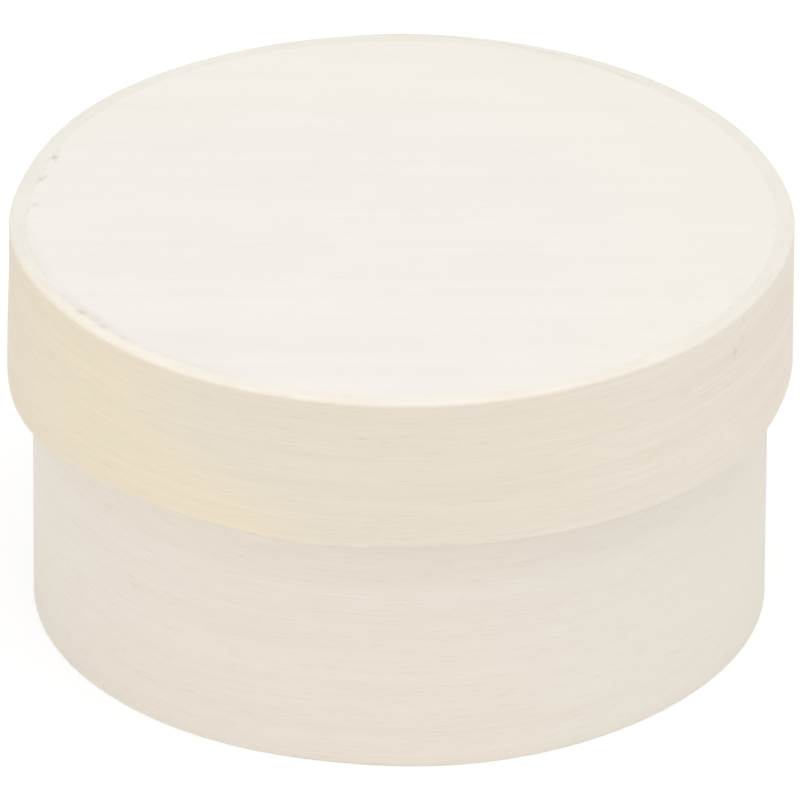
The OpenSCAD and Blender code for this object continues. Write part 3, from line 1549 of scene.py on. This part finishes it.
@dataclass
class LidAssembly(ClosedRing):
    """The lid: its ring is drawn in at the upper edge."""

    body: Body = Body.LID
    wall: Piece = Piece("lid_wall", "lid_band", Slot.LID_CHIP)
    film: Piece = Piece("lid_lap_film", "lid_lap_glue", Slot.GLUE)
    board: Piece = Piece("top_board", "lid_disc", Slot.LID_BOARD)
    bead: Piece = Piece("top_bead", "lid_glue", Slot.GLUE)
    strip_kind: type[BentStrip] = LidStrip
    lap: Lap = Lap(azimuth=75)
    facing: Facing = Facing.UP
    press: float = 0.15 * MM
    ease: float = 0.02 * MM
    fillet: float = 0.25 * MM
    swell: Wave = Wave(51, 3, 22, 0.0375)
    yellowing: float = 0.5
    pulls: tuple[Bell, ...] = (
        Bell(165, 10, 0.45), Bell(18, 7, 0.16), Bell(36, 17, 0.12), Bell(98, 34, -0.2),
    )
    board_marks: tuple[Mark, ...] = (
        Mark(160.3, 0.24, 0.26, 0.12, 0.42, 2.0),
        Mark(161.6, 0.42, 0.2, 0.06, 0.2, 1.6),
        Mark(158.2, 0.12, 0.2, 0.05, 0.14, 2.4),
        Mark(164.6, 0.1, 0.16, 0.04, 0.12, 2.0),
        Mark(166.9, 0.4, 0.2, 0.08, 0.26, 2.0),
        Mark(167.8, 0.2, 0.24, 0.1, 0.32, 2.2),
        Mark(169.5, 0.1, 0.16, 0.04, 0.14, 2.2),
        Mark(176.5, 0.55, 0.28, 0.08, 0.26, 1.6),
        Mark(178.4, 0.12, 0.18, 0.04, 0.13, 2.2),
        Mark(186.0, 0.25, 0.25, 0.03, 0.1, 2.0),
        Mark(206.6, 0.05, 0.3, 0.03, 0.2, 2.0),
        Mark(209.5, -0.05, 0.28, 0.03, 0.2, 1.6),
        Mark(212.6, 0.0, 0.55, 0.06, 0.36, 1.4),
        Mark(215.4, 0.1, 0.34, 0.04, 0.22, 2.2),
        Mark(218.0, 0.0, 0.42, 0.05, 0.28, 1.8),
        Mark(220.6, 0.05, 0.26, 0.03, 0.15, 1.8),
        Mark(222.9, 0.0, 0.36, 0.04, 0.2, 2.4),
        Mark(228.3, 0.05, 0.24, 0.02, 0.12, 3.0),
        Mark(195.0, 0.3, 0.4, 0.015, 0.07, 14.0),
        Mark(214.0, 0.35, 0.45, 0.02, 0.16, 12.0),
        Mark(238.0, 0.3, 0.4, 0.01, 0.06, 16.0),
        Mark(333.7, 0.3, 0.3, 0.04, 0.1),
        Mark(357.9, 0.3, 0.25, 0.04, 0.1),
    )


# Studio


@dataclass(frozen=True)
class Softbox:
    """Square area lamp aimed at the box.

    Attributes:
        name: Name of the lamp.
        place: Where it stands, in metres.
        size: Length of its side.
        power: Its power in watts.
    """

    name: str
    place: tuple[float, float, float]
    size: float
    power: float


@dataclass
class Studio:
    """Pale floor, tent light, soft boxes above and in front, and the camera.

    Attributes:
        aim: Point that the camera looks at.
        elevation: Camera's height above the horizon, in degrees.
        roll: Camera's turn about its own line of sight, in degrees.
        distance: Camera's distance from that point.
        lens: Focal length in millimetres.
        sensor: Width of the sensor in millimetres.
        sight: How far the camera sees.
        skirt: Strength of the tent's light near the horizon.
        roof: Strength of its light from above.
        eaves: Heights, as sines of the elevation, between which one turns into the other.
        floor_rings: Radii of the floor's rings of points.
        floor_steps: Even steps round the floor.
        gap: How far the floor lies under the box.
        bounce: Grey level of the floor for light that falls on the box from it.
        shade: Grey level of the floor where it is seen directly, which takes shadow.
        glow: Light of its own that makes it white there.
        lamps: The softboxes.
    """

    aim: tuple[float, float, float] = (-0.05 * MM, 0.0, 21.83 * MM)
    elevation: float = 28.6
    roll: float = 0.27
    distance: float = 2.3184
    lens: float = 1022.5
    sensor: float = 36.0
    sight: float = 50.0
    skirt: float = 1.09
    roof: float = 0.66
    eaves: tuple[float, float] = (0.2, 0.7)
    floor_rings: tuple[float, ...] = (0.02, 0.1, 0.4, 1.2, 4.0)
    floor_steps: int = 96
    gap: float = 0.01 * MM
    bounce: float = 0.86
    shade: float = 0.36
    glow: float = 0.69
    lamps: tuple[Softbox, ...] = (
        Softbox("key_softbox", (0.16, -0.26, 1.2), 0.8, 4.25),
        Softbox("fill_softbox", (-0.9, -1.1, 0.3), 1.2, 1.75),
    )

    def build(self) -> None:
        """Makes the floor, the lights and the camera."""
        self.build_floor()
        self.build_tent()
        for lamp in self.lamps:
            self.build_lamp(lamp)
        self.build_camera()

    @staticmethod
    def choose(graph: Graph, unseen: bpy.types.Node, seen: bpy.types.Node, output: str) -> None:
        """Ends a graph in one shader for rays that see it directly and one for all others.

        Rays off gloss and through glass count as direct, like the camera's own.

        Args:
            graph: The graph.
            unseen: Shader for other rays.
            seen: Shader for direct rays.
            output: Blender's name for the output node.
        """
        path = graph.node("ShaderNodeLightPath").outputs
        shiny = graph.math("MAXIMUM", path["Is Glossy Ray"], path["Is Transmission Ray"])
        direct = graph.math("MAXIMUM", path["Is Camera Ray"], shiny)
        choice = graph.node("ShaderNodeMixShader", {0: direct, 1: unseen.outputs[0], 2: seen.outputs[0]})
        graph.node(output, {"Surface": choice.outputs[0]})

    def build_floor(self) -> None:
        """Flat round floor: rings of points about the origin, just under the box.

        It is white where it is seen directly, and keeps a share of the shading,
        so the box's soft shadow stays.
        """
        turn = once_round(self.floor_steps)[:, None]
        radius = np.array(self.floor_rings)
        quads = grid_quads(turn.size, radius.size, close_rows=True, close_columns=False)[:, TURNED]
        hub = np.arange(turn.size)[None, :] * radius.size
        floor = Surface(about_axis(radius, turn, -self.gap), [quads, hub]).to_object("studio_floor")
        white = bpy.data.materials.new("studio_white")
        graph = Graph.emptied(white)
        bounce, shade = (
            graph.node("ShaderNodeBsdfDiffuse", {"Color": (level,) * 3})
            for level in (self.bounce, self.shade)
        )
        glow = graph.node("ShaderNodeEmission", {"Color": (self.glow,) * 3})
        shown = graph.node("ShaderNodeAddShader", {0: shade.outputs[0], 1: glow.outputs[0]})
        self.choose(graph, bounce, shown, "ShaderNodeOutputMaterial")
        floor.data.materials.append(white)

    def build_tent(self) -> None:
        """Soft light from all round, brighter near the horizon, seen as plain white."""
        world = bpy.data.worlds.new("light_tent")
        bpy.context.scene.world = world
        graph = Graph.emptied(world)
        up = graph.node("ShaderNodeSeparateXYZ", {0: graph.place_on_object()}).outputs[2]
        strength = graph.ramp(up, *self.eaves, self.skirt, self.roof)
        light = graph.node("ShaderNodeBackground", {"Color": WHITE, "Strength": strength})
        white = graph.node("ShaderNodeBackground", {"Color": WHITE})
        self.choose(graph, light, white, "ShaderNodeOutputWorld")

    def build_lamp(self, lamp: Softbox) -> None:
        """Hangs one softbox and turns it to the box.

        Args:
            lamp: Its place, size and power.
        """
        data = bpy.data.lights.new(lamp.name, "AREA")
        data.shape, data.size, data.energy = "SQUARE", lamp.size, lamp.power
        held = bpy.data.objects.new(lamp.name, data)
        x, y, z = (place - aim for place, aim in zip(lamp.place, self.aim))
        held.location = lamp.place
        held.rotation_euler = (math.atan2(math.hypot(x, y), z), 0.0, math.atan2(x, -y))
        bpy.context.scene.collection.objects.link(held)

    def build_camera(self) -> None:
        """Long lens from the front, a little above the box."""
        data = bpy.data.cameras.new("camera")
        data.sensor_width, data.lens, data.clip_end = self.sensor, self.lens, self.sight
        camera = bpy.data.objects.new("camera", data)
        rise = math.radians(self.elevation)
        x, y, z = self.aim
        camera.location = (x, y - self.distance * math.cos(rise), z + self.distance * math.sin(rise))
        tilt = Euler((math.pi / 2 - rise, 0.0, 0.0)).to_matrix()
        roll = Euler((0.0, 0.0, math.radians(self.roll))).to_matrix()
        camera.rotation_euler = (tilt @ roll).to_euler()
        bpy.context.scene.collection.objects.link(camera)
        bpy.context.scene.camera = camera


def main() -> None:
    """Builds the studio and the box."""
    logging.basicConfig(level=logging.INFO, format="%(message)s")
    bpy.context.scene.view_settings.view_transform = "Standard"
    Studio().build()
    finishes = all_finishes()
    BodyAssembly().build(finishes)
    LidAssembly().build(finishes)


if __name__ == "__main__":
    main()
